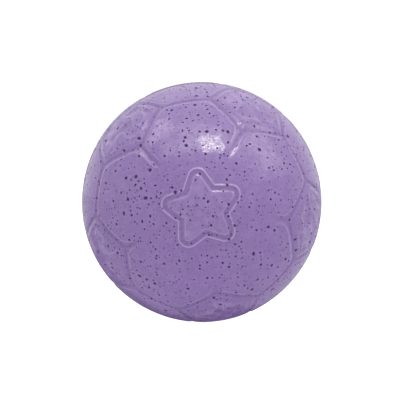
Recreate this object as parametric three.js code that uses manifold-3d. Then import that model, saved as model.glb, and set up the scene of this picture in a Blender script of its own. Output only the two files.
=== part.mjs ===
// A hollow playground ball moulded in one piece with a football panel pattern, and the stopper
// that closes the vent hole its moulding leaves. Millimetres, +Z up, with the origin at the
// ball's centre. The emblem faces -Y, the vent faces +Y, and the ball rests on -Z.
import * as THREE from "three";
import { mergeVertices } from "three/addons/utils/BufferGeometryUtils.js";
import Module from "manifold-3d";

const { degToRad, smoothstep } = THREE.MathUtils;

// The ball
const BALL_RADIUS = 76.2; // 6 inches across, over the panels
const WALL = 4.5;
const CONTACT_SINK = 0.25; // how far the ball flattens under its own weight
const PATTERN_ROLL = degToRad(-8.5); // turns the panels about the emblem's axis

// The grooves between panels
const GROOVE_WIDTH = 7.2; // a narrow crease between two gentle shoulders
const CREASE_WIDTH = 2.0;
const GROOVE_DEPTH = 0.74;
const CREASE_EDGE_SHARE = 0.75; // depth at the crease's edge, as a share of the groove's
const BLANK_MIDDLE = new THREE.Vector3(0.03, -1, -0.1).normalize(); // of the patch under the emblem
const FADE_START = degToRad(27); // the grooves are gone this close to the patch's middle
const FADE_END = degToRad(41); // and have their full depth from here on

// The raised emblem: a star with rounded tips, inside a thin outline
const STAR_TIP = 18.5; // from the centre to a tip, before rounding
const STAR_NOTCH = 9.4; // from the centre to a notch, before rounding
const STAR_ROUNDING = 2.5; // moves every side out and rounds the tips
const STAR_HEIGHT = 0.8;
const STAR_TURN = PATTERN_ROLL + degToRad(108); // the tip that points most nearly up
const OUTLINE_GAP = 2.6;
const OUTLINE_WIDTH = 1.2;
const OUTLINE_HEIGHT = 0.5;

// The vent hole, its seat and its stopper
const BORE_RADIUS = 4;
const SEAT_RADIUS = 7.8;
const SEAT_DEPTH = 2.2; // below the top of the panel
const BOSS_RADIUS = 10.5;
const BOSS_HEIGHT = 1.8; // keeps the wall's thickness under the seat
const FIT_GAP = 0.3; // all round the stopper
const HEAD_THICKNESS = 1.4;
const HEAD_EDGE = 0.5;
const RIB_COUNT = 3;
const RIB_PITCH = 1.9;
const RIB_RELIEF = 0.5; // how far the stem stands back between its ribs
const STEM_LENGTH = 7.6;
const NOSE_LENGTH = 1.8;
const NOSE_RADIUS = 2.2;

// Mesh fineness
const SIDE_STEPS = 4; // segments along each side of a panel
const CAVITY_DETAIL = 7;
const EMBLEM_DETAIL = 11;
const TIP_DETAIL = 2;
const ROUND_SEGMENTS = 36;

const CAVITY_RADIUS = BALL_RADIUS - WALL;
const SEAT_FLOOR = BALL_RADIUS - SEAT_DEPTH;

const wasm = await Module();
wasm.setup();

function toSolid(geometry) {
  const bare = geometry.clone();
  bare.deleteAttribute("normal");
  bare.deleteAttribute("uv");
  const merged = mergeVertices(bare, 1e-4);
  return new wasm.Manifold(
    new wasm.Mesh({
      numProp: 3,
      vertProperties: new Float32Array(merged.attributes.position.array),
      triVerts: new Uint32Array(merged.index.array),
    }),
  );
}

function toGeometry(solid) {
  const mesh = solid.getMesh();
  const geometry = new THREE.BufferGeometry();
  geometry.setAttribute("position", new THREE.BufferAttribute(mesh.vertProperties, 3));
  geometry.setIndex(new THREE.BufferAttribute(mesh.triVerts, 1));
  geometry.computeVertexNormals();
  return geometry;
}

function cylinderAlongY(radius, low, high) {
  const geometry = new THREE.CylinderGeometry(radius, radius, high - low, ROUND_SEGMENTS);
  return toSolid(geometry.translate(0, (low + high) / 2, 0));
}

// The twelve corners of an icosahedron with one corner on -Y: the middles of the pentagons.
function pentagonMiddles() {
  const front = [new THREE.Vector3(0, -1, 0)];
  for (let k = 0; k < 5; k++) {
    const turn = PATTERN_ROLL + (k * 2 * Math.PI) / 5;
    const corner = new THREE.Vector3(2 * Math.cos(turn), -1, 2 * Math.sin(turn));
    front.push(corner.divideScalar(Math.sqrt(5)));
  }
  return [...front, ...front.map((v) => v.clone().negate())];
}

// Sorts points anticlockwise about an axis, as seen from outside the ball.
function sortAbout(axis, points) {
  const across = points[0].clone().projectOnPlane(axis).normalize();
  const up = new THREE.Vector3().crossVectors(axis, across);
  const angle = (p) => Math.atan2(p.dot(up), p.dot(across));
  return [...points].sort((a, b) => angle(a) - angle(b));
}

// The 12 pentagons and 20 hexagons of a truncated icosahedron, each as its flat corner points.
function panelCorners() {
  const middles = pentagonMiddles();
  const near = (a, b) => a !== b && a.dot(b) > 0.4;
  const third = (a, b) => a.clone().multiplyScalar(2).add(b).divideScalar(3);
  const pentagons = middles.map((a) =>
    sortAbout(a, middles.filter((b) => near(a, b)).map((b) => third(a, b))),
  );
  const hexagons = [];
  middles.forEach((a, i) => {
    middles.slice(i + 1).forEach((b, j) => {
      middles.slice(i + j + 2).forEach((c) => {
        if (!near(a, b) || !near(b, c) || !near(c, a)) return;
        const corners = [third(a, b), third(b, a), third(b, c), third(c, b), third(c, a), third(a, c)];
        hexagons.push(sortAbout(a.clone().add(b).add(c).normalize(), corners));
      });
    });
  });
  return [...pentagons, ...hexagons];
}

// The share of their full depth that the grooves have in a direction.
function grooveShare(direction) {
  return smoothstep(direction.angleTo(BLANK_MIDDLE), FADE_START, FADE_END);
}

function onBall(flatPoint, depth) {
  const direction = flatPoint.clone().normalize();
  return direction.clone().multiplyScalar(BALL_RADIUS - depth * grooveShare(direction));
}

// One panel, in one sector for each side: a triangular grid over its land, then two bands that
// step down into the groove.
function addPanel(triangles, corners) {
  const sum = corners.reduce((total, corner) => total.add(corner), new THREE.Vector3());
  const middle = sum.divideScalar(corners.length);
  const sideMiddle = corners[0].clone().add(corners[1]).divideScalar(2);
  const reach = sideMiddle.distanceTo(middle) * BALL_RADIUS; // from the middle to a side
  const landScale = 1 - GROOVE_WIDTH / 2 / reach;
  const creaseScale = 1 - CREASE_WIDTH / 2 / reach;
  const creaseEdgeDepth = GROOVE_DEPTH * CREASE_EDGE_SHARE;

  corners.forEach((from, i) => {
    const to = corners[(i + 1) % corners.length];
    const at = (scale, along, depth) =>
      onBall(from.clone().lerp(to, along).sub(middle).multiplyScalar(scale).add(middle), depth);

    for (let row = 0; row < SIDE_STEPS; row++) {
      const inner = (s) => at((landScale * row) / SIDE_STEPS, row ? s / row : 0, 0);
      const outer = (s) => at((landScale * (row + 1)) / SIDE_STEPS, s / (row + 1), 0);
      for (let s = 0; s <= row; s++) {
        triangles.push(inner(s), outer(s), outer(s + 1));
        if (s < row) triangles.push(inner(s), outer(s + 1), inner(s + 1));
      }
    }
    const addBand = (innerScale, innerDepth, outerScale, outerDepth) => {
      const inner = (s) => at(innerScale, s / SIDE_STEPS, innerDepth);
      const outer = (s) => at(outerScale, s / SIDE_STEPS, outerDepth);
      for (let s = 0; s < SIDE_STEPS; s++) {
        triangles.push(inner(s), outer(s), outer(s + 1));
        triangles.push(inner(s), outer(s + 1), inner(s + 1));
      }
    };
    addBand(landScale, 0, creaseScale, creaseEdgeDepth);
    addBand(creaseScale, creaseEdgeDepth, 1, GROOVE_DEPTH);
  });
}

function panelledBall() {
  const triangles = [];
  panelCorners().forEach((corners) => addPanel(triangles, corners));
  return toSolid(new THREE.BufferGeometry().setFromPoints(triangles));
}

// Draws the star on a path, with every side moved out by the margin and every tip rounded to it.
function drawStar(path, margin) {
  const halfTurn = Math.PI / 5;
  const sideAcross = STAR_TIP - STAR_NOTCH * Math.cos(halfTurn);
  const sideUp = STAR_NOTCH * Math.sin(halfTurn);
  const sideTurn = Math.atan2(sideAcross, sideUp); // from a tip's direction to its side's normal
  const sideReach = STAR_TIP * Math.cos(sideTurn); // from the centre to a side's line
  const notchReach = STAR_NOTCH * (1 + margin / sideReach);
  for (let k = 0; k < 5; k++) {
    const turn = STAR_TURN + 2 * k * halfTurn;
    const tipX = STAR_TIP * Math.cos(turn);
    const tipY = STAR_TIP * Math.sin(turn);
    path.absarc(tipX, tipY, margin, turn - sideTurn, turn + sideTurn, false);
    const notchTurn = turn + halfTurn;
    path.lineTo(notchReach * Math.cos(notchTurn), notchReach * Math.sin(notchTurn));
  }
  path.closePath();
  return path;
}

// A flat shape as a relief that follows the ball and stands out of it by its height.
function reliefOf(shape, height) {
  const prism = new THREE.ExtrudeGeometry(shape, {
    depth: BALL_RADIUS + WALL,
    bevelEnabled: false,
    curveSegments: TIP_DETAIL,
  });
  prism.rotateX(Math.PI / 2); // the shape's x stays x, its y becomes z, and the prism runs to -Y
  const envelope = new THREE.IcosahedronGeometry(BALL_RADIUS + height, EMBLEM_DETAIL);
  return toSolid(prism).intersect(toSolid(envelope));
}

function emblem() {
  const star = drawStar(new THREE.Shape(), STAR_ROUNDING);
  const outline = drawStar(new THREE.Shape(), STAR_ROUNDING + OUTLINE_GAP + OUTLINE_WIDTH);
  outline.holes.push(drawStar(new THREE.Path(), STAR_ROUNDING + OUTLINE_GAP));
  return reliefOf(star, STAR_HEIGHT).add(reliefOf(outline, OUTLINE_HEIGHT));
}

function ballShell() {
  const cavity = toSolid(new THREE.IcosahedronGeometry(CAVITY_RADIUS, CAVITY_DETAIL));
  const boss = cylinderAlongY(BOSS_RADIUS, CAVITY_RADIUS - BOSS_HEIGHT, BALL_RADIUS - WALL / 2);
  const seat = cylinderAlongY(SEAT_RADIUS, SEAT_FLOOR, BALL_RADIUS + WALL);
  const bore = cylinderAlongY(BORE_RADIUS, CAVITY_RADIUS / 2, BALL_RADIUS);
  const ground = new THREE.BoxGeometry(BALL_RADIUS, BALL_RADIUS, BALL_RADIUS);
  ground.translate(0, 0, CONTACT_SINK - BALL_RADIUS * 1.5);
  const solid = panelledBall()
    .add(emblem())
    .subtract(cavity)
    .add(boss)
    .subtract(seat)
    .subtract(bore)
    .subtract(toSolid(ground));
  return toGeometry(solid);
}

// The stopper, turned about Y with its head outwards. Its ribs are drawn at the size that the
// hole squeezes them to, so that they clear it.
function ventPlug() {
  const headRadius = SEAT_RADIUS - FIT_GAP;
  const ribRadius = BORE_RADIUS - FIT_GAP;
  const stemRadius = ribRadius - RIB_RELIEF;
  const headBase = SEAT_FLOOR + FIT_GAP;
  const headTop = headBase + HEAD_THICKNESS;
  const noseTip = headBase - STEM_LENGTH;
  const ribStart = noseTip + NOSE_LENGTH;
  const profile = [
    [0, noseTip],
    [NOSE_RADIUS, noseTip],
  ];
  for (let rib = 0; rib < RIB_COUNT; rib++) {
    const y = ribStart + rib * RIB_PITCH;
    profile.push([ribRadius, y]);
    profile.push([ribRadius, y + RIB_RELIEF]);
    profile.push([stemRadius, y + 2 * RIB_RELIEF]);
    profile.push([stemRadius, y + RIB_PITCH - RIB_RELIEF]);
  }
  profile.push(
    [stemRadius, headBase],
    [headRadius, headBase],
    [headRadius, headTop - HEAD_EDGE],
    [headRadius - HEAD_EDGE, headTop],
    [0, headTop],
  );
  const points = profile.map(([radius, y]) => new THREE.Vector2(radius, y));
  return toGeometry(toSolid(new THREE.LatheGeometry(points, ROUND_SEGMENTS)));
}

const foamedPlastic = new THREE.MeshStandardMaterial({ color: 0x9b80bf, roughness: 0.35 });
const plugRubber = new THREE.MeshStandardMaterial({ color: 0x7d63a3, roughness: 0.55 });

function named(name, geometry, material) {
  const mesh = new THREE.Mesh(geometry, material);
  mesh.name = name;
  return mesh;
}

const ball = new THREE.Group();
ball.add(named("ball_shell", ballShell(), foamedPlastic));
ball.add(named("vent_plug", ventPlug(), plugRubber));

export default ball;
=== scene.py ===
"""The looks of a moulded play ball: a pinholed skin with football panels, a star and a vent stopper.

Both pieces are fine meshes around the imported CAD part, in metres, +Z up, the ball's centre at the origin.
"""

import math
from collections import namedtuple

import bpy
import numpy as np
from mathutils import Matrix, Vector, kdtree, noise
from mathutils.geometry import delaunay_2d_cdt


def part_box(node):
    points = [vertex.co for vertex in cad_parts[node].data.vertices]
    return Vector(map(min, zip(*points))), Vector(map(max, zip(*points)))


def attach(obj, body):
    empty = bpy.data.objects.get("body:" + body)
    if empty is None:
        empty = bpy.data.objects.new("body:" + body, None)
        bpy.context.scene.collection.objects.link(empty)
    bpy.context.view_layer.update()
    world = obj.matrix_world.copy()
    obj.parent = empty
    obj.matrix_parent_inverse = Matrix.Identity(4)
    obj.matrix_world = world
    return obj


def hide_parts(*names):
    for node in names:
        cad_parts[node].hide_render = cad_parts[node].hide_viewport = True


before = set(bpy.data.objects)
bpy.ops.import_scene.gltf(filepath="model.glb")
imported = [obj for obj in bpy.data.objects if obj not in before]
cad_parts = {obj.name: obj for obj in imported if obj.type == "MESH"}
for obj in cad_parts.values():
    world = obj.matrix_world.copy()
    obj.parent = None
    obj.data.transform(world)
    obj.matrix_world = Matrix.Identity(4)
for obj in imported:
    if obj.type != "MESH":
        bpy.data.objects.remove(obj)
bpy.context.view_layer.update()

MM = 0.001
SEED = 11

# The panels and the grooves between them. Places are measured from the groove's middle.
PATTERN_ROLL = math.radians(-8.5)  # as the CAD part turns its panels about the emblem's axis
CORNER_ROUNDING = 5.8 * MM
SHOULDER_DROP = 0.42 * MM  # the panels' edges fall this far between the two half widths
SHOULDER_HALF = (0.7 * MM, 3.8 * MM)
CREASE_DEPTH = 0.32 * MM  # the narrow groove between two shoulders
CREASE_HALF = (0.2 * MM, 1.7 * MM)
LIP_HEIGHT = 0.08 * MM  # a slight swell along the panels' edges
LIP_PLACE = 3.5 * MM
LIP_WIDTH = 0.9 * MM
FADE_TILT = (0.03, -0.10)  # the blank patch under the emblem sits a little right of and below its middle
FADE_START = math.radians(27)  # the grooves run out between these angles from the patch's middle
FADE_END = math.radians(41)

# The textured pentagons
RIM_HEIGHT = 0.25 * MM
RIM_PLACE = 4.2 * MM
RIM_WIDTH = 0.8 * MM
LUMP_HEIGHT = 0.75 * MM
LUMP_SIZE = 9.0 * MM
LUMP_START = 4.6 * MM
LUMP_FULL = 1.5 * LUMP_START
LUMP_BEND = 0.3 * LUMP_SIZE  # how far the ridges wander, over stretches of BEND_SIZE
BEND_SIZE = 0.6 * LUMP_SIZE
SWELL_SHARE = 0.9  # of LUMP_HEIGHT, as are the next two
RIDGE_SHARE = 0.55
LUMP_SINK = 0.25
RIDGE_LEVEL = 0.05  # the winding ridges follow this level of the noise, which runs from about -1 to 1
RIDGE_WIDTH = 0.2

# The star and its outline. Bevel and crown are measured out from the star's edge.
STAR_TIP = 18.5 * MM
STAR_NOTCH = 9.4 * MM
STAR_ROUNDING = 2.5 * MM
STAR_TURN = PATTERN_ROLL + math.radians(108)
STAR_HEIGHT = 0.8 * MM
STAR_BEVEL = (-0.6 * MM, 0.3 * MM)
STAR_CROWN = (-5 * MM, 0.0)
CROWN_SHARE = 0.35  # of the star's height, the rest being its bevel
OUTLINE_GAP = 2.6 * MM
OUTLINE_WIDTH = 1.2 * MM
OUTLINE_HEIGHT = 0.5 * MM
OUTLINE_FLANK = (0.1 * MM, 0.8 * MM)
OUTLINE_MIDDLE = OUTLINE_GAP + OUTLINE_WIDTH / 2
EMBLEM_REACH = math.radians(38)  # no part of the emblem lies beyond
EMBLEM_SINK = 0.2 * MM  # the ground between the star and its outline
EMBLEM_SINK_EDGE = (OUTLINE_MIDDLE - 1 * MM, OUTLINE_MIDDLE)
FIFTH = math.pi / 5  # the turn from a tip to the next notch

# The skin's tone, from -1 in the creases, a painted shade, to 1 on thin raised edges, a painted glow
CREASE_TONE_HALF = (0.2 * MM, 1.8 * MM)
CREST_PLACE = 2.5 * MM  # a paler line inside each panel's edge, a painted glow
CREST_WIDTH = 0.75 * MM
CREST_TONE = 0.6
TEXTURED_CREST_TONE = 0.36
# the textured pentagons' ridges are painted paler too, a painted glow
RIDGE_TONE = 0.5
STAR_EDGE_PLACE = -0.3 * MM
STAR_EDGE_TONE = 0.5
EMBLEM_EDGE_WIDTH = 0.6 * MM
# painted shade in the sunk ground between the star and its outline
EMBLEM_GROUND_TONE = -0.6
EMBLEM_GROUND_WIDTH = 1.2 * MM
STAR_FACE_EDGE = (-1 * MM, 0)
STAR_FACE_TONE = 0.3
STAR_FACE_MOTTLE = 0.25
STAR_FACE_MOTTLE_SIZE = 3 * MM

# The skin's soft waves and mould line
WAVE_HEIGHT = 0.014 * MM
WAVE_SIZE = 9 * MM
SEAM_HEIGHT = 0.14 * MM
SEAM_HALF = 0.45 * MM

# Where each noise field is sampled, so that no two are alike
BEND_FIELD = 5.2
LUMP_FIELD = 3.1
WAVE_FIELD = 1.3
STAR_FIELD = 7.7

# The pinholes
PIT_DENSITY = 7.6e4  # per square metre
PIT_RADIUS = 0.35 * MM  # the middle one; the spread is log-normal
PIT_SPREAD = 0.44
PIT_RANGE = (0.25 * MM, 1.05 * MM)  # smaller ones are left to the material
BIG_PIT = 0.40 * MM  # from this radius on a pinhole has a wall
DEEPEST_PIT = 1.0 * MM
PIT_STRETCH = 0.5  # the longest pinholes are this much longer than wide
PIT_UNEVENNESS = 0.08  # of every ring but the rim
PIT_GAP = 0.25 * MM  # at least, between the rims of two
PIT_KEEP_OFF = (2.0, 0.15 * MM)  # other points stay this many radii and this far off its middle
SEAM_CLEARANCE = 2.5 * MM
SEAT_CLEARANCE = 3 * MM

# A pinhole is rings of corners round its middle, which is at full depth. Its depth is given per radius.
# A ring is (share of the radius, share of the depth, darkness, a painted shade). The rim ring lies on the
# skin, paler: a painted highlight.
PitShape = namedtuple("PitShape", "corners depth rings")
RIM_RING = (1.5, 0.0, -0.5)
WALLED_PIT = PitShape(8, 1.5, (RIM_RING, (1.0, 0.12, 0.35), (0.76, 0.7, 1.0)))
DIMPLE = PitShape(6, 1.2, (RIM_RING,))

# The vent, around the CAD stopper
FIT_GAP = 0.3 * MM
HEAD_THICKNESS = 1.4 * MM
WALL = 4.5 * MM
BOSS_RADIUS = 10.5 * MM
BOSS_HEIGHT = 1.8 * MM
BORE_RADIUS = 4.0 * MM
BOSS_CHAMFER = (0.5 * MM, 0.4 * MM)
BOSS_FOOT = 0.6 * MM  # how far the boss spreads where it meets the cavity
SEAT_LIP = 0.8 * MM  # the seat's wall starts this far below the ball's sphere
VENT_ROUNDING = 0.3 * MM  # of the small corners in the seat and bore
ROLL_DEPTH = 0.35 * MM  # the skin rolls down to the seat over this depth and width
ROLL_WIDTH = 0.5 * MM

# The stopper
STEM_INSET = 0.5 * MM  # the stem is this much thinner than its ribs
RIB_COUNT = 3
RIB_START = 2.05 * MM  # from the nose to the middle of the first rib
RIB_PITCH = 1.9 * MM
RIB_HALF = 0.5 * MM
RIB_STEPS = 7
HEAD_ROUNDING = 0.5 * MM
HEAD_STEPS = 9
NOSE = ((1.7, 0), (2.1, 0.1), (2.4, 0.4), (3.58, 1.6))  # (radius, height above the tip) in mm
NECK = ((0, 0.3), (0.1, 0.08), (0.35, 0))  # (distance out from the stem, depth below the head) in mm
DISH = (  # (radius, depth below the head's top) in mm, with a small button left in the middle
    (5.9, 0.05),
    (5.5, 0.22),
    (5.1, 0.3),
    (3.4, 0.32),
    (1.6, 0.3),
    (1.3, 0.22),
    (1.0, 0.05),
    (0.6, 0),
)

# The studio
FLOOR_GLOW = 3.8
WORLD_GLOW = 1.08
MIRRORED_CARD = 0.9  # how much the card behind the ball darkens its mirror image
CARD_EDGE = (0.935, 0.965)  # the card starts and is whole where a ray points this much along +Y
KEY_TINT = (0.98, 1.0, 0.82)

# The camera: a long lens, a little above the ball's middle. Azimuth 0 is the emblem's side.
CAMERA_AZIMUTH = -0.34  # degrees
CAMERA_ELEVATION = 3.3
CAMERA_DISTANCE = 12.5  # in ball radii, as is the aim
CAMERA_AIM = (-0.0144, 0.0181)  # how far right of and above the ball's middle
LENS = 134.5  # millimetres, as is the sensor
SENSOR_WIDTH = 36

# Mesh fineness
ROW_STEP = 1.6 * MM  # along a groove
GROOVE_LEVELS = (0, 0.6, 1.2, 1.8, 2.5, 3.3, 4.2)  # in mm out from a groove's middle
GROOVE_ROW_GAP = 0.42 * MM
ROW_TOLERANCE = 0.05 * MM
SETTLE_PASSES = 3  # the rows are moved until the corners' rounding is right
SETTLE_NUDGE = 0.02 * MM
SETTLE_LIMIT = 0.01  # the furthest that a pass moves a point, in ball radii
LEAST_SLOPE = 0.2  # a flatter slope counts as this steep, so that no move is too long
STAR_STEP = 0.9 * MM
# In mm out from the star's edge, where its bevel, crown and outline bend
STAR_MARGINS = (-4.0, -2.4, -1.2, -0.7, -0.3, 0.1, 0.5, 1.2, 1.9, 2.4, 2.8, 3.2, 3.6, 4.0, 4.6, 5.8)
STAR_ROW_GAP = 0.33 * MM
STAR_DETAIL = 6 * MM  # the fine fill reaches this far out from the star
ROW_CLEARANCE = 0.4 * MM  # between these rows and those of the seam, the vent and the floor
SEAM_STEP = 1.3 * MM
SEAM_ROWS = (0.35 * MM, 0.75 * MM)
REST_STEP = 1.5 * MM
REST_ROWS = (0.45, 0.75, 1.0)  # as shares of the rest flat's radius
ROLL_ROWS = (0, 0.12 * MM, 0.35 * MM, 0.8 * MM)  # out from the seat
VENT_REACH = 1.6 * MM  # the vent's last row, and nothing else inside it
VENT_SEGMENTS = 72
CAVITY_ROWS = 33
FINE_STEP = 1.15 * MM
COARSE_STEP = 2.4 * MM
FILL_CLEARANCE = 0.66  # of the fill's step

OUTER_SHARE = 0.97  # the CAD shell's outer points reach this share of the furthest one's distance

UP = np.array([0.0, 0.0, 1.0])
FRONT = np.array([0.0, -1.0, 0.0])
BACK = -FRONT
DOWN = -UP


def ball_radius():
    """The radius over the panels: the middle one of the CAD shell's outer points."""
    points = np.array([v.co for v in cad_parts["ball_shell"].data.vertices])
    reach = np.linalg.norm(points, axis=1)
    outer = reach > OUTER_SHARE * reach.max()
    return float(np.median(reach[outer]))


BALL = ball_radius()
FLOOR_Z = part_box("ball_shell")[0].z
PLUG_LOW, PLUG_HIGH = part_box("vent_plug")
HEAD_TOP = PLUG_HIGH.y
HEAD_RADIUS = PLUG_HIGH.x
SEAT_RADIUS = HEAD_RADIUS + FIT_GAP
SEAT_FLOOR = HEAD_TOP - HEAD_THICKNESS - FIT_GAP


# ---------------------------------------------------------------- small helpers


def unit(v):
    return v / np.linalg.norm(v, axis=-1, keepdims=True)


def blank_middle():
    aside, up = FADE_TILT
    return unit(FRONT + np.array([aside, 0, up]))


def smooth(x, low, high):
    """0 below low, 1 above high and an even curve between them."""
    t = np.clip((x - low) / (high - low), 0, 1)
    return t * t * (3 - 2 * t)


def bump(x, centre, width):
    return np.exp(-(((x - centre) / width) ** 2))


def angle_from(directions, axis):
    return np.arccos(np.clip(directions @ axis, -1, 1))


def tangents(direction):
    """Two unit vectors square to a direction and to each other."""
    side = unit(np.cross(direction, UP if abs(direction[2]) < 0.9 else BACK))
    return side, np.cross(direction, side)


def ring_round(axis, count):
    """Unit vectors square to an axis, evenly turned about it."""
    across, up = tangents(axis)
    turn = np.arange(count)[:, None] * 2 * math.pi / count
    return np.cos(turn) * across + np.sin(turn) * up


def tree_of(points):
    tree = kdtree.KDTree(len(points))
    for i, p in enumerate(points):
        tree.insert(p, i)
    tree.balance()
    return tree


def thinned(directions, spacing):
    """The directions, in order, less those nearer than spacing to an earlier one."""
    tree = tree_of(directions)
    keep = np.ones(len(directions), bool)
    for i, p in enumerate(directions):
        if keep[i]:
            for _, j, _ in tree.find_range(p, spacing / BALL):
                keep[j] = keep[j] and j <= i
    return directions[keep]


def clear_of(directions, others, spacing):
    """The directions that are further than spacing from all the others."""
    tree = tree_of(others)
    return directions[[tree.find(p)[2] * BALL > spacing for p in directions]]


def clear_of_vent(directions):
    return directions[angle_from(directions, BACK) * BALL > SEAT_RADIUS + VENT_REACH]


def lattice(spacing):
    """Evenly spread directions, about spacing apart on the ball."""
    count = int(4 * math.pi * BALL**2 / (spacing**2 * math.sin(math.pi / 3)))
    k = np.arange(count) + 0.5
    height = 1 - 2 * k / count
    turn = math.pi * (1 + math.sqrt(5)) * k
    across = np.sqrt(1 - height**2)
    return np.stack([across * np.cos(turn), across * np.sin(turn), height], axis=1)


def circle_row(axis, reach, spacing=None, count=None):
    """Directions on a circle about an axis, reach from it across the ball's surface."""
    angle = reach / BALL
    count = count or max(8, round(2 * math.pi * math.sin(angle) * BALL / spacing))
    return math.cos(angle) * axis + math.sin(angle) * ring_round(axis, count)


# ---------------------------------------------------------------- the panel pattern


def pentagon_axes():
    turns = PATTERN_ROLL + np.arange(5) * 2 * math.pi / 5
    ring = np.stack([2 * np.cos(turns), -np.ones(5), 2 * np.sin(turns)], axis=1) / math.sqrt(5)
    front = np.vstack([FRONT, ring])
    return np.vstack([front, -front])


def neighbours(pentagons):
    """Which pentagons are next to each other: those whose axes are 63 degrees apart."""
    return (pentagons @ pentagons.T > 0.4) & ~np.eye(len(pentagons), dtype=bool)


def hexagon_axes(pentagons):
    """A hexagon lies between every three pentagons that are neighbours of each other."""
    near = neighbours(pentagons)
    trios = [
        (i, j, k)
        for i, j in np.argwhere(near)
        for k in range(j + 1, len(pentagons))
        if i < j and near[j, k] and near[k, i]
    ]
    return unit(pentagons[np.array(trios)].sum(1))


def panel_corners(pentagons):
    pairs = np.argwhere(neighbours(pentagons))
    return unit(2 * pentagons[pairs[:, 0]] + pentagons[pairs[:, 1]])


PENTAGONS = pentagon_axes()
AXES = np.vstack([PENTAGONS, hexagon_axes(PENTAGONS)])
CORNERS = panel_corners(PENTAGONS)
FACE_REACH = (AXES @ CORNERS.T).max(1)  # from the centre to each flat panel, on a ball of radius 1
PLANES = AXES / FACE_REACH[:, None]
PLANE_GAPS = np.linalg.norm(PLANES[:, None] - PLANES[None], axis=2) + 1e-9
TEXTURED = np.isin(np.arange(len(AXES)), range(len(PENTAGONS))) & (np.abs(AXES[:, 1]) < 0.9)


def side_distances(directions):
    """(each direction's panel, its distance to the groove on every side of that panel)."""
    support = directions @ PLANES.T
    rows = np.arange(len(directions))
    panel = support.argmax(1)
    gap = support[rows, panel][:, None] - support
    distance = np.arcsin(np.clip(gap / PLANE_GAPS[panel], 0, 1)) * BALL
    distance[rows, panel] = math.inf
    return panel, distance


def groove_distances(directions):
    """(panel, distance to the nearest groove's middle, the same with the panel's corners rounded)."""
    panel, distance = side_distances(directions)
    nearest = distance.min(1)
    inside = np.maximum(CORNER_ROUNDING - distance, 0)
    rounded = CORNER_ROUNDING - np.sqrt((inside**2).sum(1))
    return panel, nearest, np.where(nearest > CORNER_ROUNDING, nearest, rounded)


# ---------------------------------------------------------------- the star


def star_side():
    """(turn from a tip's direction to its side's normal, distance from the centre to that side)."""
    across = STAR_TIP - STAR_NOTCH * math.cos(FIFTH)
    up = STAR_NOTCH * math.sin(FIFTH)
    turn = math.atan2(across, up)
    return turn, STAR_TIP * math.cos(turn)


def star_distance(directions):
    """Distance outside the rounded star, seen along the emblem's axis; negative inside it."""
    x, z = directions[:, 0] * BALL, directions[:, 2] * BALL
    reach = np.hypot(x, z)
    turn = np.abs((np.arctan2(z, x) - STAR_TURN + FIFTH) % (2 * FIFTH) - FIFTH)
    point = np.stack([reach * np.cos(turn), reach * np.sin(turn)], axis=1)
    tip = np.array([STAR_TIP, 0])
    notch = STAR_NOTCH * np.array([math.cos(FIFTH), math.sin(FIFTH)])
    side = notch - tip
    along = np.clip((point - tip) @ side / (side @ side), 0, 1)
    distance = np.linalg.norm(point - tip - along[:, None] * side, axis=1)
    normal_turn, side_reach = star_side()
    normal = np.array([math.cos(normal_turn), math.sin(normal_turn)])
    outside = point @ normal > side_reach
    return np.where(outside, distance, -distance) - STAR_ROUNDING


def half_tip_row(margin):
    """Flat points from a tip to the next notch, along the star's outline moved out by a margin."""
    normal_turn, side_reach = star_side()
    offset = margin + STAR_ROUNDING
    reach = (side_reach + offset) / math.cos(FIFTH - normal_turn)
    notch = reach * np.array([math.cos(FIFTH), math.sin(FIFTH)])
    arc = np.empty((0, 2))
    start = np.array([(side_reach + offset) / math.cos(normal_turn), 0])
    if offset >= 0:
        turns = np.linspace(0, normal_turn, max(2, round(offset * normal_turn / STAR_STEP) + 1))
        arc = offset * np.stack([np.cos(turns), np.sin(turns)], axis=1) + (STAR_TIP, 0)
        start = arc[-1]
    steps = max(2, round(np.linalg.norm(notch - start) / STAR_STEP) + 1)
    return np.vstack([arc, start + np.linspace(0, 1, steps)[:, None] * (notch - start)])


def star_rows():
    """Directions on the star's outline, moved out by each margin."""
    half = np.vstack([half_tip_row(margin * MM) for margin in STAR_MARGINS])
    both = np.vstack([half, half * (1, -1)])
    turned = []
    for k in range(5):
        c, s = math.cos(STAR_TURN + 2 * k * FIFTH), math.sin(STAR_TURN + 2 * k * FIFTH)
        turned.append(both @ np.array([[c, s], [-s, c]]))
    flat = np.vstack(turned) / BALL
    return np.stack([flat[:, 0], -np.sqrt(1 - (flat**2).sum(1)), flat[:, 1]], axis=1)


# ---------------------------------------------------------------- the skin's relief


def noise_at(directions, size, field):
    """Smooth noise from about -1 to 1, with features of the given size."""
    offset = Vector((field, -field, 2 * field))
    return np.array([noise.noise(Vector(p) + offset) for p in directions * (BALL / size)])


def lumps(directions):
    """(height, share of ridge) of the winding ridges and soft swells of the textured pentagons."""
    bend = LUMP_BEND / BALL * noise_at(directions, BEND_SIZE, BEND_FIELD)
    broad = noise_at(unit(directions + bend[:, None] * UP), LUMP_SIZE, LUMP_FIELD)
    ridge = bump(broad, RIDGE_LEVEL, RIDGE_WIDTH)
    return LUMP_HEIGHT * (SWELL_SHARE * broad + RIDGE_SHARE * ridge - LUMP_SINK), ridge


def groove_share(directions):
    """0 in the blank patch under the emblem, where there are no grooves, and 1 away from it."""
    return smooth(angle_from(directions, blank_middle()), FADE_START, FADE_END)


def panel_relief(directions):
    panel, nearest, distance = groove_distances(directions)
    shoulder = -SHOULDER_DROP * (1 - smooth(distance, *SHOULDER_HALF))
    crease = -CREASE_DEPTH * (1 - smooth(nearest, *CREASE_HALF))
    lip = LIP_HEIGHT * bump(distance, LIP_PLACE, LIP_WIDTH)
    height = groove_share(directions) * (shoulder + crease + lip)
    textured = TEXTURED[panel]
    inside = distance[textured]
    rim = RIM_HEIGHT * bump(inside, RIM_PLACE, RIM_WIDTH)
    height[textured] += rim + lumps(directions[textured])[0] * smooth(inside, LUMP_START, LUMP_FULL)
    return height


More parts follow.
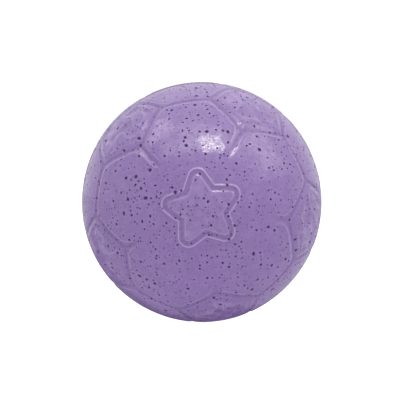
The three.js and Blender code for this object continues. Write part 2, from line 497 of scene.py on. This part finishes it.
def emblem_relief(directions):
    height = np.zeros(len(directions))
    near = angle_from(directions, FRONT) < EMBLEM_REACH
    distance = star_distance(directions[near])
    flank = (1 - CROWN_SHARE) * STAR_HEIGHT * (1 - smooth(distance, *STAR_BEVEL))
    crown = CROWN_SHARE * STAR_HEIGHT * (1 - smooth(distance, *STAR_CROWN))
    outline = OUTLINE_HEIGHT * (1 - smooth(np.abs(distance - OUTLINE_MIDDLE), *OUTLINE_FLANK))
    ground = -EMBLEM_SINK * (1 - smooth(distance, *EMBLEM_SINK_EDGE))
    height[near] = flank + crown + outline + ground
    return height


def panel_tone(directions):
    panel, nearest, distance = groove_distances(directions)
    textured = TEXTURED[panel]
    # the crests are painted paler: a painted glow
    crest = np.where(textured, TEXTURED_CREST_TONE, CREST_TONE) * bump(distance, CREST_PLACE, CREST_WIDTH)
    # the creases are darkened: a painted shade
    crease = 1 - smooth(nearest, *CREASE_TONE_HALF)
    marked = groove_share(directions) * (crest - crease)
    inside = smooth(distance[textured], LUMP_START, LUMP_FULL)
    marked[textured] += RIDGE_TONE * lumps(directions[textured])[1] * inside
    return marked


def emblem_tone(directions):
    marked = np.zeros(len(directions))
    near = angle_from(directions, FRONT) < EMBLEM_REACH
    distance = star_distance(directions[near])
    # the outline and the star's edge are painted paler: a painted glow
    outline = bump(distance, OUTLINE_MIDDLE, EMBLEM_EDGE_WIDTH)
    edge = STAR_EDGE_TONE * bump(distance, STAR_EDGE_PLACE, EMBLEM_EDGE_WIDTH)
    # painted shade in the ground between the star and its outline
    ground = EMBLEM_GROUND_TONE * bump(distance, OUTLINE_MIDDLE / 2, EMBLEM_GROUND_WIDTH)
    mottle = STAR_FACE_MOTTLE * noise_at(directions[near], STAR_FACE_MOTTLE_SIZE, STAR_FIELD)
    face = (1 - smooth(distance, *STAR_FACE_EDGE)) * (STAR_FACE_TONE + mottle)
    marked[near] = outline + edge + ground + face
    return marked


def tone(directions):
    """From -1 in the narrow creases, a painted shade, to 1 on the thin raised edges, a painted glow as if
    light shone through them.
    """
    return np.clip(panel_tone(directions) + emblem_tone(directions), -1, 1)


def relief(directions):
    """How far the skin stands above the ball's sphere in each direction, pinholes aside."""
    seam = SEAM_HEIGHT * bump(directions[:, 1] * BALL, 0, SEAM_HALF)
    waves = WAVE_HEIGHT * noise_at(directions, WAVE_SIZE, WAVE_FIELD)
    return panel_relief(directions) + emblem_relief(directions) + seam + waves


# ---------------------------------------------------------------- the pinholes


def pit_layout(rng):
    """(centre directions, radii) of the pinholes, the big ones first, none touching another."""
    count = round(4 * math.pi * BALL**2 * PIT_DENSITY)
    radii = np.sort(PIT_RADIUS * np.exp(PIT_SPREAD * rng.standard_normal(count)))[::-1]
    smallest, largest = PIT_RANGE
    radii = np.minimum(radii[radii > smallest], largest)
    centres = unit(rng.standard_normal((len(radii), 3)))
    seam_clear = np.abs(centres[:, 1]) * BALL > SEAM_CLEARANCE
    vent_clear = angle_from(centres, BACK) * BALL > SEAT_RADIUS + SEAT_CLEARANCE
    usable = seam_clear & vent_clear
    centres, radii = centres[usable], radii[usable]
    rims = RIM_RING[0] * radii
    widest_pair = 2 * RIM_RING[0] * largest + PIT_GAP
    tree = tree_of(centres)
    keep = np.ones(len(centres), bool)
    for i, centre in enumerate(centres):
        if not keep[i]:
            continue
        for _, j, gap in tree.find_range(centre, widest_pair / BALL):
            if j > i and gap * BALL < rims[i] + rims[j] + PIT_GAP:
                keep[j] = False
    return centres[keep], radii[keep]


def pit_points(centres, radii, rng):
    """(directions, depths below the skin, darkness) of every pinhole's points."""
    directions, depths, darkness = [], [], []
    for centre, radius in zip(centres, radii):
        shape = WALLED_PIT if radius > BIG_PIT else DIMPLE
        across, up = tangents(centre)
        stretch = 1 + PIT_STRETCH * rng.random() ** 3
        lean = rng.random() * math.pi
        long_axis = math.cos(lean) * across + math.sin(lean) * up
        short_axis = np.cross(centre, long_axis)
        depth = min(radius * shape.depth, DEEPEST_PIT)
        for ring in shape.rings:
            reach, fall, dark = ring
            turn = (np.arange(shape.corners) + 0.5 * rng.random()) * 2 * math.pi / shape.corners
            uneven = PIT_UNEVENNESS * rng.standard_normal(shape.corners) * (ring != RIM_RING)
            size = radius * reach * (1 + uneven) / BALL
            oval = np.cos(turn)[:, None] * long_axis * stretch + np.sin(turn)[:, None] * short_axis
            directions.append(unit(centre + size[:, None] * oval))
            depths.append(np.full(shape.corners, fall * depth))
            darkness.append(np.full(shape.corners, dark))
        directions.append(centre[None])
        depths.append(np.array([depth]))
        darkness.append(np.array([1.0]))
    return np.vstack(directions), np.concatenate(depths), np.concatenate(darkness)


def clear_of_pits(directions, centres, radii):
    """The directions outside every pinhole's rim."""
    share, margin = PIT_KEEP_OFF
    tree = tree_of(directions)
    keep = np.ones(len(directions), bool)
    for centre, reach in zip(centres, (share * radii + margin) / BALL):
        for _, j, _ in tree.find_range(centre, reach):
            keep[j] = False
    return directions[keep]


# ---------------------------------------------------------------- the points of the skin


def vent_rows():
    """The rounded edge of the stopper's seat. The first row is the edge of the opening."""
    rows = [circle_row(BACK, SEAT_RADIUS + out, count=VENT_SEGMENTS) for out in ROLL_ROWS]
    rows.append(circle_row(BACK, SEAT_RADIUS + VENT_REACH, count=VENT_SEGMENTS // 2))
    return rows


def vent_edge(directions):
    """How far the skin rolls down at the edge of the stopper's seat."""
    past = angle_from(directions, BACK) * BALL - SEAT_RADIUS
    return -ROLL_DEPTH * np.clip(1 - past / ROLL_WIDTH, 0, 1) ** 2


def seam_rows():
    middle = BALL * math.pi / 2
    rows = [circle_row(FRONT, middle, SEAM_STEP)]
    for offset in SEAM_ROWS:
        for side in (-1, 1):
            rows.append(circle_row(FRONT, middle + side * offset, SEAM_STEP))
    return rows


def rest_rows():
    """Circles in and round the small flat that the ball rests on."""
    reach = math.acos(-FLOOR_Z / BALL) * BALL
    return [circle_row(DOWN, reach * share, REST_STEP) for share in REST_ROWS]


def groove_rows():
    """Rows of directions along both sides of every groove."""
    edge = np.linalg.norm(CORNERS[:, None] - CORNERS[None], axis=2)
    side = edge[edge > 1e-6].min()
    pairs = [(i, j) for i, j in np.argwhere(np.abs(edge - side) < 1e-6) if i < j]
    steps = round(side * BALL / ROW_STEP)
    along = np.linspace(0, 1, steps + 1)[:, None]
    rows, wanted = [], []
    for i, j in pairs:
        middle = unit(CORNERS[i] + along * (CORNERS[j] - CORNERS[i]))
        normal = unit(np.cross(CORNERS[i], CORNERS[j]))
        for level in np.array(GROOVE_LEVELS) * MM:
            for sign in (-1, 1) if level else (1,):
                rows.append(unit(middle + sign * math.tan(level / BALL) * normal))
                wanted.append(np.full(steps + 1, level))
    rows, wanted = np.vstack(rows), np.concatenate(wanted)
    own_row = np.abs(side_distances(rows)[1].min(1) - wanted) < ROW_TOLERANCE
    seen = angle_from(rows, blank_middle()) > FADE_START
    rows, wanted = rows[own_row & seen], wanted[own_row & seen]
    return thinned(settled(rows, wanted), GROOVE_ROW_GAP)


def settled(directions, wanted):
    """Moves directions beside a crease until their rounded groove distance is the wanted one."""
    nudge = SETTLE_NUDGE / BALL
    for _ in range(SETTLE_PASSES):
        distance = groove_distances(directions)[2]
        slope = np.zeros_like(directions)
        for axis in range(3):
            shifted = directions.copy()
            shifted[:, axis] += nudge
            slope[:, axis] = (groove_distances(unit(shifted))[2] - distance) / SETTLE_NUDGE
        slope -= (slope * directions).sum(1)[:, None] * directions
        steepness = np.maximum((slope**2).sum(1), LEAST_SLOPE)
        step = np.where(wanted > CREASE_HALF[1], (wanted - distance) / steepness / BALL, 0)
        directions = unit(directions + np.clip(step, -SETTLE_LIMIT, SETTLE_LIMIT)[:, None] * slope)
    return directions


def is_detailed(directions):
    panel, _, distance = groove_distances(directions)
    star = (star_distance(directions) < STAR_DETAIL) & (directions[:, 1] < 0)
    return TEXTURED[panel] | star | (distance < CREASE_HALF[1])


def skin_directions(rng):
    """(directions, pit depths, darkness) of all the outer skin's points. The vent's edge comes first."""
    opening, *vent = vent_rows()
    centres, radii = pit_layout(rng)
    pits, pit_depths, pit_darkness = pit_points(centres, radii, rng)
    fixed = clear_of_pits(np.vstack([*vent, *seam_rows(), *rest_rows()]), centres, radii)

    rows = np.vstack([groove_rows(), thinned(star_rows(), STAR_ROW_GAP)])
    rows = clear_of_pits(rows, centres, radii)
    rows = clear_of(rows, np.vstack([fixed, opening]), ROW_CLEARANCE)
    points = np.vstack([fixed, clear_of_vent(rows)])

    fine = lattice(FINE_STEP)
    fine = fine[is_detailed(fine)]
    for fill, spacing in ((fine, FINE_STEP), (lattice(COARSE_STEP), COARSE_STEP)):
        fill = clear_of_pits(fill, centres, radii)
        fill = clear_of(fill, np.vstack([points, opening, pits]), FILL_CLEARANCE * spacing)
        points = np.vstack([points, clear_of_vent(fill)])

    directions = np.vstack([opening, points, pits])
    still = np.zeros(len(opening) + len(points))
    return directions, np.concatenate([still, pit_depths]), np.concatenate([still, pit_darkness])


# ---------------------------------------------------------------- the meshes


def half_triangles(directions, front):
    """Delaunay triangles of one half of the ball, from its view along the emblem's axis."""
    depth = directions[:, 1] if front else -directions[:, 1]
    chosen = np.flatnonzero(depth < 1e-7)
    flat = directions[chosen][:, [0, 2]] / (1 - depth[chosen])[:, None]
    _, _, faces, sources, _, _ = delaunay_2d_cdt([Vector(p) for p in flat], [], [], 0, 1e-9)
    used = chosen[[source[0] for source in sources]]
    triangles = used[np.array(faces)]
    return triangles if front else triangles[:, ::-1]


def turned_rings(profile, segments):
    """A ring of points about Y for each (radius, y) of a profile."""
    spokes = ring_round(BACK, segments)
    return np.vstack([spokes * radius + y * BACK for radius, y in profile])


def quads_between(first, second, count):
    """Quads between two closed rings whose points start at these two indices."""
    turns = [(k, (k + 1) % count) for k in range(count)]
    return [(first + k, first + after, second + after, second + k) for k, after in turns]


def cap(ring, tip, count):
    """Triangles from a closed ring, whose points start at this index, to a tip."""
    return [(ring + k, ring + (k + 1) % count, tip) for k in range(count)]


def smooth_mesh(name, vertices, faces):
    mesh = bpy.data.meshes.new(name)
    mesh.from_pydata(vertices.tolist(), [], faces)
    mesh.validate()
    mesh.shade_smooth()
    return mesh


def inner_profile():
    """(radius about Y, y) from the vent's edge down its seat and bore and round the cavity."""
    cavity = BALL - WALL
    boss_base = cavity - BOSS_HEIGHT
    top = math.sqrt(BALL**2 - SEAT_RADIUS**2) - SEAT_LIP
    chamfer_in, chamfer_up = BOSS_CHAMFER
    soft = VENT_ROUNDING
    slight = VENT_ROUNDING / 3
    profile = [
        (SEAT_RADIUS, top),
        (SEAT_RADIUS, SEAT_FLOOR + soft),
        (SEAT_RADIUS - slight, SEAT_FLOOR + slight),
        (SEAT_RADIUS - soft, SEAT_FLOOR),
        (BORE_RADIUS + soft, SEAT_FLOOR),
        (BORE_RADIUS + slight, SEAT_FLOOR - slight),
        (BORE_RADIUS, SEAT_FLOOR - soft),
        (BORE_RADIUS, boss_base + soft),
        (BORE_RADIUS + soft, boss_base),
        (BOSS_RADIUS - chamfer_in, boss_base),
        (BOSS_RADIUS, boss_base + chamfer_up),
    ]
    start = math.asin((BOSS_RADIUS + BOSS_FOOT) / cavity)
    for angle in np.linspace(start, math.pi, CAVITY_ROWS + 1)[:-1]:
        profile.append((cavity * math.sin(angle), cavity * math.cos(angle)))
    return profile


def inside_of_shell(skin_count):
    """(points, faces) of the vent and the cavity, to follow the skin's points."""
    profile = inner_profile()
    cavity_floor = (WALL - BALL) * BACK
    points = np.vstack([turned_rings(profile, VENT_SEGMENTS), cavity_floor])
    starts = [0] + [skin_count + k * VENT_SEGMENTS for k in range(len(profile))]
    faces = []
    for upper, lower in zip(starts, starts[1:]):
        faces += quads_between(upper, lower, VENT_SEGMENTS)
    faces += cap(starts[-1], skin_count + len(points) - 1, VENT_SEGMENTS)
    return points, faces


def point_normals(points, triangles):
    """The mean of the normals of the triangles round each point, by area."""
    a, b, c = (points[triangles[:, k]] for k in range(3))
    normals = np.zeros_like(points)
    across = np.cross(b - a, c - a)
    for k in range(3):
        np.add.at(normals, triangles[:, k], across)
    return unit(normals)


def shell_mesh(rng):
    """The ball in one closed mesh. The skin round a pinhole is shaded as if the pinhole weren't there."""
    directions, pit_depth, darkness = skin_directions(rng)
    radius = BALL + relief(directions) + vent_edge(directions)
    unpitted = directions * radius[:, None]
    unpitted[:, 2] = np.maximum(unpitted[:, 2], FLOOR_Z)
    skin = unpitted - directions * pit_depth[:, None]
    triangles = np.vstack([half_triangles(directions, True), half_triangles(directions, False)])
    over_vent = (triangles < VENT_SEGMENTS).all(1)
    inside, inside_faces = inside_of_shell(len(skin))
    faces = triangles[~over_vent].tolist() + inside_faces
    mesh = smooth_mesh("ball_skin", np.vstack([skin, inside]), faces)

    for name, values in (("pit", darkness), ("tone", tone(directions))):
        mark = mesh.attributes.new(name, "FLOAT", "POINT")
        mark.data.foreach_set("value", np.concatenate([values, np.zeros(len(inside))]))
    normals = np.array([v.normal for v in mesh.vertices])
    on_skin = np.flatnonzero(pit_depth == 0)
    on_skin = on_skin[on_skin >= VENT_SEGMENTS]
    normals[on_skin] = point_normals(unpitted, triangles)[on_skin]
    mesh.normals_split_custom_set_from_vertices(normals.tolist())
    return mesh


def turned_mesh(name, profile, segments):
    """A solid turned about Y from (radius, y) points that start and end on the axis."""
    (_, low_tip), *rings, (_, high_tip) = profile
    vertices = np.vstack([low_tip * BACK, high_tip * BACK, turned_rings(rings, segments)])
    starts = [2 + row * segments for row in range(len(rings))]
    faces = []
    for low, high in zip(starts, starts[1:]):
        faces += quads_between(low, high, segments)
    faces += [face[::-1] for face in cap(starts[0], 0, segments)]
    faces += cap(starts[-1], 1, segments)
    return smooth_mesh(name, vertices, faces)


def plug_profile():
    """The stopper's section: nose, ribbed stem, head with a rolled edge and a dished top."""
    stem_radius = BORE_RADIUS - FIT_GAP - STEM_INSET
    head_base = HEAD_TOP - HEAD_THICKNESS
    tip = PLUG_LOW.y
    profile = [(0, tip)]
    profile += [(radius * MM, tip + rise * MM) for radius, rise in NOSE]
    for rib in range(RIB_COUNT):
        middle = tip + RIB_START + rib * RIB_PITCH
        for step in np.linspace(-1, 1, RIB_STEPS):
            swell = math.sqrt(max(0, 1 - step**2))
            profile.append((stem_radius + STEM_INSET * swell, middle + step * RIB_HALF))
    profile += [(stem_radius + out * MM, head_base - depth * MM) for out, depth in NECK]
    for turn in np.linspace(-math.pi / 2, math.pi / 2, HEAD_STEPS):
        lift = HEAD_THICKNESS / 2 * (1 + math.sin(turn))
        profile.append((HEAD_RADIUS + HEAD_ROUNDING * (math.cos(turn) - 1), head_base + lift))
    profile += [(radius * MM, HEAD_TOP - sink * MM) for radius, sink in DISH]
    profile.append((0, HEAD_TOP))
    return profile


# ---------------------------------------------------------------- materials


class Nodes:
    """A node tree, built one node at a time."""

    def __init__(self, tree, coordinates):
        self.tree = tree
        self.place = self.node("ShaderNodeTexCoord").outputs[coordinates]

    def node(self, kind, **inputs):
        made = self.tree.nodes.new(kind)
        for name, value in inputs.items():
            self.set(made, name.replace("_", " "), value)
        return made

    def set(self, node, slot, value):
        socket = node.inputs[slot]
        if isinstance(value, bpy.types.NodeSocket):
            self.tree.links.new(value, socket)
        else:
            socket.default_value = value

    def split(self):
        """The place's X, Y and Z."""
        return self.node("ShaderNodeSeparateXYZ", Vector=self.place).outputs

    def mirrored(self):
        """1 where a glossy surface mirrors this, else 0."""
        return self.node("ShaderNodeLightPath").outputs["Is Glossy Ray"]

    def mark(self, name):
        """A value that the mesh carries at its points."""
        made = self.node("ShaderNodeAttribute")
        made.attribute_name = name
        return made.outputs["Fac"]

    def noise(self, size, detail=2, roughness=0.5):
        """Noise with features of the given size, in metres."""
        made = self.node(
            "ShaderNodeTexNoise", Vector=self.place, Scale=1 / size, Detail=detail, Roughness=roughness
        )
        return made.outputs["Fac"]

    def ramp(self, value, low, high, to_low=0.0, to_high=1.0, curve="SMOOTHSTEP"):
        made = self.node("ShaderNodeMapRange", Value=value)
        made.interpolation_type = curve
        ends = {"From Min": low, "From Max": high, "To Min": to_low, "To Max": to_high}
        for name, number in ends.items():
            made.inputs[name].default_value = number
        return made.outputs["Result"]

    def mix(self, share, first, second):
        """A colour between two, each an (r, g, b) or another node's colour."""
        made = self.tree.nodes.new("ShaderNodeMix")
        made.data_type = "RGBA"
        self.set(made, "Factor", share)
        for slot, value in ((6, first), (7, second)):
            self.set(made, slot, value if isinstance(value, bpy.types.NodeSocket) else (*value, 1))
        return made.outputs[2]

    def math(self, operation, first, second):
        made = self.tree.nodes.new("ShaderNodeMath")
        made.operation = operation
        self.set(made, 0, first)
        self.set(made, 1, second)
        return made.outputs[0]

    def bump(self, height, distance, strength=1.0, normal=None):
        made = self.node("ShaderNodeBump", Height=height, Distance=distance, Strength=strength)
        if normal is not None:
            self.set(made, "Normal", normal)
        return made.outputs["Normal"]


class Shader(Nodes):
    """A material with a Principled surface."""

    def __init__(self, name):
        self.material = bpy.data.materials.new(name)
        self.material.use_nodes = True
        super().__init__(self.material.node_tree, "Object")

    def finish(self, **inputs):
        surface = self.tree.nodes["Principled BSDF"]
        for name, value in inputs.items():
            self.set(surface, name.replace("_", " "), value)
        return self.material


SKIN_DEEP = (0.140, 0.084, 0.237)
SKIN_MAIN = (0.154, 0.094, 0.258)
SKIN_MOTTLE = (0.176, 0.109, 0.282)
SKIN_SPECKLE = (0.171, 0.107, 0.273)
# painted glow on thin raised edges, and painted highlight round the pinholes' rims
EDGE_PAINTED_GLOW = (0.27, 0.20, 0.38)
# painted shade in the narrow creases
CREASE_PAINTED_SHADE = (0.05, 0.025, 0.10)
# painted shade in the pinholes: those too small for the mesh, and the modelled ones
PINPRICK_PAINTED_SHADE = (0.06, 0.033, 0.12)
PINHOLE_PAINTED_SHADE = (0.06, 0.033, 0.115)
RUBBER_DEEP = (0.13, 0.075, 0.24)
RUBBER_MAIN = (0.17, 0.10, 0.30)
RUBBER_DUST = (0.26, 0.18, 0.38)
FLOOR_GREYS = ((0.28, 0.28, 0.28), (0.30, 0.30, 0.30))
FLOOR_SHADE = (0.09, 0.08, 0.13)


def pinpricks(s):
    """The pinholes that are too small for the mesh, as painted shade: a dark spot in some cells, larger in
    few.
    """
    cells = s.node("ShaderNodeTexVoronoi", Vector=s.place, Scale=1 / (1.9 * MM))
    reach = s.math("MULTIPLY", s.math("POWER", cells.outputs["Color"], 2), 0.5)
    return s.ramp(s.math("SUBTRACT", cells.outputs["Distance"], reach), -0.03, 0.02, 0.75, 0.0)


def skin_colour(s, crease, hollow):
    """Cloudy lavender with speckles, pinpricks and pale thin edges, dark creases and pinholes; the dark
    ones are painted shade, the pale edges and the pinholes' rims a painted glow.
    """
    cloud = s.ramp(s.noise(30 * MM, 3), 0.35, 0.65)
    colour = s.mix(cloud, SKIN_DEEP, SKIN_MAIN)
    mottle = s.ramp(s.noise(3.5 * MM, 4, 0.6), 0.45, 0.75, 0.0, 0.2)
    colour = s.mix(mottle, colour, SKIN_MOTTLE)
    speckle = s.ramp(s.noise(1.05 * MM, 3, 0.7), 0.38, 0.62)
    colour = s.mix(speckle, colour, SKIN_SPECKLE)
    # painted shade in the pinpricks
    colour = s.mix(pinpricks(s), colour, PINPRICK_PAINTED_SHADE)
    # painted glow on the thin raised edges
    colour = s.mix(s.ramp(s.mark("tone"), 0.1, 1.0), colour, EDGE_PAINTED_GLOW)
    colour = s.mix(s.math("MULTIPLY", crease, 0.18), colour, CREASE_PAINTED_SHADE)
    # painted highlight round each pinhole's rim
    rim = s.ramp(s.mark("pit"), RIM_RING[2], 0.0, 0.12, 0.0)
    colour = s.mix(rim, colour, EDGE_PAINTED_GLOW)
    return s.mix(hollow, colour, PINHOLE_PAINTED_SHADE)


def skin_material():
    """Soft, slightly translucent lavender plastic with a patchy gloss, dull inside its pinholes."""
    s = Shader("lavender_foamed_plastic")
    # painted shade in the creases, which also lose some of their gloss
    crease = s.ramp(s.mark("tone"), -0.9, -0.05, 1.0, 0.0)
    # painted shade in the pinholes, which are also rough and without coat
    hollow = s.ramp(s.mark("pit"), 0.1, 0.75)
    rough = s.ramp(s.noise(1.2 * MM, 3), 0.3, 0.7, 0.36, 0.46)
    peel = s.bump(s.noise(2.8 * MM, 1), 0.01 * MM, 0.3)
    grain = s.bump(s.noise(0.35 * MM, 3, 0.7), 0.01 * MM, 0.4, peel)
    sparkle = s.bump(s.noise(0.9 * MM, 2, 0.6), 0.01 * MM, 0.2, peel)
    gloss = s.ramp(s.noise(1.2 * MM, 3, 0.8), 0.42, 0.64, 0.15, 1.0)
    gloss = s.math("MULTIPLY", gloss, s.ramp(crease, 0, 1, 1, 0.6))
    return s.finish(
        Base_Color=skin_colour(s, crease, hollow),
        Roughness=s.math("MAXIMUM", rough, hollow),
        Normal=grain,
        Subsurface_Weight=0.25,
        Subsurface_Radius=(1.0, 0.7, 1.3),
        Subsurface_Scale=1.2 * MM,
        Coat_Weight=s.math("SUBTRACT", gloss, hollow),
        Coat_Roughness=0.1,
        Coat_IOR=1.58,
        Specular_IOR_Level=0.15,
        Coat_Normal=sparkle,
    )


def plug_material():
    """Matte, slightly dusty moulded rubber in a deeper violet."""
    s = Shader("violet_rubber")
    cloud = s.ramp(s.noise(4 * MM, 3), 0.35, 0.7)
    colour = s.mix(cloud, RUBBER_DEEP, RUBBER_MAIN)
    dust = s.ramp(s.noise(0.5 * MM, 4, 0.7), 0.6, 0.8, 0.0, 0.3)
    return s.finish(
        Base_Color=s.mix(dust, colour, RUBBER_DUST),
        Roughness=s.ramp(s.noise(1.0 * MM, 3), 0.3, 0.7, 0.5, 0.68),
        Normal=s.bump(s.noise(0.22 * MM, 3, 0.6), 0.02 * MM, 0.6),
        Subsurface_Weight=0.1,
        Subsurface_Scale=0.8 * MM,
    )


def floor_material():
    """A pale sweep that glows, but far less in the ball's mirror image.

    There the glow drops to a third, and to none in a wedge that opens to the back from in front of the
    ball, save on the far left. The floor's colour is darker too in the wedge's part near the ball.
    """
    s = Shader("pale_floor")
    x, y, _ = s.split()
    mirrored = s.mirrored()
    to_right = s.math("MULTIPLY", s.math("SUBTRACT", x, 0.35 * BALL), 2.2)
    to_left = s.math("MULTIPLY", x, -0.4)
    wedge = s.math("MAXIMUM", to_right, to_left)
    behind = s.ramp(s.math("SUBTRACT", y, wedge), -0.45 * BALL, -0.25 * BALL)
    close = s.ramp(y, 0.7 * BALL, 3.5 * BALL, 1.0, 0.0)
    # painted shadow, close behind the ball and seen only in its mirror image
    shade = s.math("MULTIPLY", s.math("MULTIPLY", behind, close), mirrored)
    colour = s.mix(shade, s.mix(s.noise(0.6), *FLOOR_GREYS), FLOOR_SHADE)
    far_left = s.ramp(x, -2.8 * BALL, -0.9 * BALL, 1.0, 0.0)
    # in the mirror image the glow is cut: a painted shadow
    dim = s.math("MULTIPLY", s.ramp(s.math("SUBTRACT", behind, far_left), 0, 1, 0.68, 1.0), mirrored)
    return s.finish(
        Base_Color=colour,
        Roughness=0.7,
        Emission_Color=colour,
        Emission_Strength=s.ramp(dim, 0, 1, FLOOR_GLOW, 0),
    )


# ---------------------------------------------------------------- pieces and stage


def add_object(name, mesh, material):
    mesh.materials.append(material)
    made = bpy.data.objects.new(name, mesh)
    bpy.context.scene.collection.objects.link(made)
    return made


def make_ball():
    skin = add_object("ball_skin", shell_mesh(np.random.default_rng(SEED)), skin_material())
    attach(skin, "ball")
    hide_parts("ball_shell")


def make_plug():
    mesh = turned_mesh("vent_stopper", plug_profile(), VENT_SEGMENTS)
    plug = add_object("vent_stopper", mesh, plug_material())
    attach(plug, "plug")
    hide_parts("vent_plug")


def make_floor():
    reach = 60 * BALL
    corners = [(-reach, -reach, 0), (reach, -reach, 0), (reach, reach, 0), (-reach, reach, 0)]
    mesh = bpy.data.meshes.new("floor")
    mesh.from_pydata(corners, [], [(0, 1, 2, 3)])
    floor = add_object("floor", mesh, floor_material())
    floor.location.z = FLOOR_Z


def make_world():
    """White all round, with a dark card behind the ball that only its mirror image shows."""
    world = bpy.data.worlds.new("studio")
    world.use_nodes = True
    s = Nodes(world.node_tree, "Generated")
    card = s.ramp(s.split()["Y"], *CARD_EDGE, 0, MIRRORED_CARD, curve="LINEAR")
    dimming = s.math("MULTIPLY", card, s.mirrored())
    background = s.tree.nodes["Background"]
    s.set(background, "Color", (1, 1, 1, 1))
    s.set(background, "Strength", s.math("SUBTRACT", WORLD_GLOW, dimming))
    bpy.context.scene.world = world


def away_from_ball(azimuth, elevation):
    """The direction from the ball's middle. Azimuth 0 is the emblem's side, positive to its right."""
    turn, rise = math.radians(azimuth), math.radians(elevation)
    return Vector((math.sin(turn) * math.cos(rise), -math.cos(turn) * math.cos(rise), math.sin(rise)))


def add_softbox(name, azimuth, elevation, distance, size, power, colour=(1, 1, 1), is_card=False):
    """A soft area light that faces the ball. A card lights nothing, and is only mirrored in the gloss."""
    light = bpy.data.lights.new(name, "AREA")
    light.shape = "RECTANGLE"
    light.size, light.size_y = size
    light.energy = power
    light.color = colour
    lamp = bpy.data.objects.new(name, light)
    away = away_from_ball(azimuth, elevation)
    lamp.location = away * distance
    lamp.rotation_euler = away.to_track_quat("Z", "Y").to_euler()
    lamp.visible_diffuse = not is_card
    bpy.context.scene.collection.objects.link(lamp)


def make_lights():
    """Azimuth and elevation in degrees, distance and size in metres, power in watts."""
    add_softbox("key", 14, 57.8, 1.0, (0.31, 0.28), 3.0, KEY_TINT)
    add_softbox("key_glow", -6, 66, 1.02, (0.60, 0.50), 1.2)
    add_softbox("overhead", 0, 94, 1.5, (1.9, 2.65), 7.4)
    add_softbox("right_panel", 78, 43, 1.4, (0.57, 0.8), 2.4)
    add_softbox("edge_card", 0, 56.5, 1.5, (1.9, 0.36), 2.2, is_card=True)
    add_softbox("edge_glow_card", 0, 62, 1.5, (1.9, 0.66), 2.4, is_card=True)
    add_softbox("left_card", -83, 59, 1.4, (0.52, 0.5), 2.5, is_card=True)
    add_softbox("right_card", 72, 40, 1.4, (1.0, 1.1), 3.8, is_card=True)


def make_camera():
    away = away_from_ball(CAMERA_AZIMUTH, CAMERA_ELEVATION)
    turn = math.radians(CAMERA_AZIMUTH)
    right = Vector((math.cos(turn), math.sin(turn), 0))
    aim_right, aim_up = CAMERA_AIM
    aim = (right * aim_right + away.cross(right) * aim_up) * BALL
    data = bpy.data.cameras.new("camera")
    data.lens = LENS
    data.sensor_width = SENSOR_WIDTH
    camera = bpy.data.objects.new("camera", data)
    camera.location = away * CAMERA_DISTANCE * BALL
    camera.rotation_euler = (camera.location - aim).to_track_quat("Z", "Y").to_euler()
    bpy.context.scene.collection.objects.link(camera)
    bpy.context.scene.camera = camera


make_ball()
make_plug()
make_floor()
make_world()
make_lights()
make_camera()
bpy.context.scene.view_settings.view_transform = "Standard"
